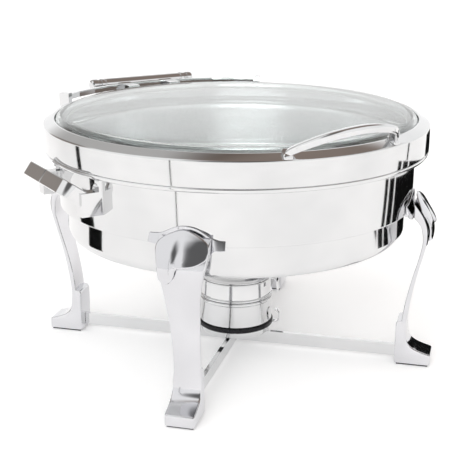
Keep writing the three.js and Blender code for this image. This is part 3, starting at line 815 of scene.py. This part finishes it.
def rivets():
    """Domed rivets that hold the flanges of the side-handle brackets."""
    flange_top = mm_box("side_bracket_r_b")[1].z
    flange_r = WALL_R + 4.8
    y, z = 56.0, flange_top - 6
    x = math.sqrt(flange_r ** 2 - y ** 2)
    for handle, degrees in (("r", 0), ("l", 180)):
        for end, side in (("a", -1), ("b", 1)):
            bm = bmesh.new()
            turned(bm, [
                (0, -1.0), (2.3, -1.0, 0.2), (2.6, 0, 0.3), (2.4, 0.7, 0.8), (1.3, 1.3, 1.0), (0, 1.3),
            ], sides=28, axis="X")
            rivet = make_object(f"bracket_rivet_{handle}_{end}", bm, POLISHED)
            turn = Matrix.Rotation(math.atan2(side * y, x), 4, "Z")
            rivet.data.transform(Matrix.Translation(Vector((x, side * y, z)) * MM) @ turn)
            rivet.data.transform(Matrix.Rotation(math.radians(degrees), 4, "Z"))
            place(rivet, "pan", "polished_steel")


# -------------------------------------------------------------------- build

water_pan()
food_pan()
lid()
lid_handle()
hinge()
side_handles()
legs()
saddles()
leaves()
burner()
snuffer()
rivets()

for node in ("cross_bar_a", "cross_bar_b"):
    dress(node, POLISHED, width=0.7)
for node in ("hinge_bracket", "lid_hinge_strap"):
    dress(node, POLISHED, width=0.6)
for node in ("hinge_pin", "snuffer_pin"):
    dress(node, SATIN, width=0.3)
for side in "lr":
    for end in "ab":
        dress(f"side_bracket_{side}_{end}", POLISHED, width=0.9)
for leg in LEG_ANGLES:
    dress("foot_pad_" + leg, RUBBER, width=0.4)


# ------------------------------------------------------- stage, light, camera

VIEW_TURN = math.radians(-31)     # direction of the camera round the object


def seen(right, away):
    """Point given along the camera's right and away from the camera, turned into the object's frame."""
    c, s = math.cos(VIEW_TURN), math.sin(VIEW_TURN)
    return (right * c - away * s, right * s + away * c)


FLOOR_R = 14000          # millimetres
FLOOR_DROP = 0.0003      # metres under the pads, so that floor and pads don't share a plane

# Black cards seen in the steel: name, both ends on the floor, lower and upper edge, in millimetres.
FLAGS = [
    ("flag_right_a", seen(592, -8), seen(574, 19), 0, 155),
    ("flag_right_b", seen(566, 31), seen(538, 73), 0, 155),
    ("flag_right_c", seen(532, 82), seen(330, 380), 0, 155),
    ("flag_right_far", seen(415, 255), seen(250, 500), 155, 205),
    ("flag_right_thin", seen(560, 60), seen(552, 72), 155, 240),
    ("flag_left", seen(-622, -20), seen(-615, 62), 0, 112),
    ("flag_left_thin", seen(-622, -62), seen(-619, -28), 112, 205),
    ("flag_left_low", seen(-500, -62), seen(-496, 58), 0, 78),
    ("flag_pole", seen(-303, -520), seen(-298, -523), 0, 400),
]
# Sun lamps: name, place that they shine from, angular size, power.
LIGHTS = [
    ("sky_soft", (0.25, -0.5, 2.6), 1.25, 0.9),
    ("front_fill", (*seen(-0.4, -2.4), 0.95), 0.8, 2.4),
]
# Shaded patches of the surround: direction, cosines where the shade starts and is full, colour.
PATCHES = [
    ((*seen(0.40, 0.05), 0.90), 0.70, 0.86, (0.25, 0.205, 0.18, 1)),
    ((*seen(-0.86, 0.45), 0.24), 0.90, 0.965, (0.30, 0.27, 0.25, 1)),
    ((*seen(-0.365, 0.56), 0.71), 0.82, 0.95, (0.50, 0.49, 0.48, 1)),
    ((*seen(-0.02, -0.76), 0.65), 0.85, 0.96, (0.13, 0.13, 0.13, 1)),
]


def floor():
    """Plain pale floor."""
    material, tree, shader = new_material("studio_floor")
    speck = noise(tree, scale=2.2, detail=1)
    tree.links.new(tint(tree, speck, (0.90, 0.90, 0.90), (0.95, 0.95, 0.95)), shader.inputs["Base Color"])
    tree.links.new(spread(tree, speck, 0.5, 0.6), shader.inputs["Roughness"])
    shader.inputs["Emission Color"].default_value = (1, 1, 1, 1)
    shader.inputs["Emission Strength"].default_value = 0.2
    bm = bmesh.new()
    bmesh.ops.create_circle(bm, cap_ends=True, segments=96, radius=FLOOR_R)
    obj = make_object("floor", bm, material)
    obj.location.z = -FLOOR_DROP


def flags():
    """Black cards that show only in reflections."""
    material, tree, shader = new_material("black_flag")
    fuzz = noise(tree, scale=40, detail=3)
    tree.links.new(tint(tree, fuzz, (0.002, 0.002, 0.002), (0.006, 0.006, 0.006)),
                   shader.inputs["Base Color"])
    shader.inputs["Roughness"].default_value = 1.0
    shader.inputs["Specular IOR Level"].default_value = 0.0
    for name, start, end, low, high in FLAGS:
        bm = bmesh.new()
        corners = [bm.verts.new((x, y, z)) for (x, y), z in
                   ((start, low), (end, low), (end, high), (start, high))]
        bm.faces.new(corners)
        card = make_object(name, bm, material)
        card.visible_camera = False
        card.visible_diffuse = False
        card.visible_shadow = False
        card.visible_transmission = False


def lights():
    """Two soft suns that light the object but don't show in its steel."""
    target = Vector((0, 0, 0.15))
    for name, place_at, angle, power in LIGHTS:
        data = bpy.data.lights.new(name, "SUN")
        data.energy = power
        data.angle = angle
        lamp = bpy.data.objects.new(name, data)
        lamp.location = place_at
        lamp.rotation_euler = (target - Vector(place_at)).to_track_quat("-Z", "Y").to_euler()
        lamp.visible_glossy = False
        bpy.context.scene.collection.objects.link(lamp)


def world():
    """White studio surround with shaded patches overhead, low and high behind, and high in front."""
    scene_world = bpy.data.worlds.new("studio")
    bpy.context.scene.world = scene_world
    scene_world.use_nodes = True
    tree = scene_world.node_tree
    background = tree.nodes["Background"]
    where = tree.nodes.new("ShaderNodeTexCoord")
    shade = None
    for direction, start, end, colour in PATCHES:
        along = tree.nodes.new("ShaderNodeVectorMath")
        along.operation = "DOT_PRODUCT"
        along.inputs[1].default_value = Vector(direction).normalized()
        ramp = tree.nodes.new("ShaderNodeValToRGB")
        ramp.color_ramp.interpolation = "EASE"
        ramp.color_ramp.elements[0].position = start
        ramp.color_ramp.elements[0].color = (1, 1, 1, 1)
        ramp.color_ramp.elements[1].position = end
        ramp.color_ramp.elements[1].color = colour
        tree.links.new(where.outputs["Generated"], along.inputs[0])
        tree.links.new(along.outputs["Value"], ramp.inputs["Fac"])
        if shade is None:
            shade = ramp.outputs["Color"]
            continue
        both = tree.nodes.new("ShaderNodeVectorMath")
        both.operation = "MULTIPLY"
        tree.links.new(shade, both.inputs[0])
        tree.links.new(ramp.outputs["Color"], both.inputs[1])
        shade = both.outputs["Vector"]
    tree.links.new(shade, background.inputs["Color"])
    background.inputs["Strength"].default_value = 1.1


def camera():
    """Looks at the pan from the front left and above."""
    distance, height = 1.250, 0.5282
    pitch, yaw, roll = 0.2969, -0.005682, 0.003085
    data = bpy.data.cameras.new("camera")
    data.sensor_width = 36.0
    data.lens = 84.91
    data.clip_start = 0.05
    data.clip_end = 60
    cam = bpy.data.objects.new("camera", data)
    forward = Vector((math.sin(yaw) * math.cos(pitch), math.cos(yaw) * math.cos(pitch), -math.sin(pitch)))
    right = Vector((math.cos(yaw), -math.sin(yaw), 0))
    up = right.cross(forward)
    tilted_right = right * math.cos(roll) + up * math.sin(roll)
    tilted_up = up * math.cos(roll) - right * math.sin(roll)
    turn = Matrix((tilted_right, tilted_up, -forward)).transposed().to_4x4()
    spin = Matrix.Rotation(VIEW_TURN, 4, "Z")
    cam.matrix_world = spin @ (Matrix.Translation((0, -distance, height)) @ turn)
    bpy.context.scene.collection.objects.link(cam)
    bpy.context.scene.camera = cam


floor()
flags()
lights()
world()
camera()
bpy.context.scene.view_settings.view_transform = "Standard"
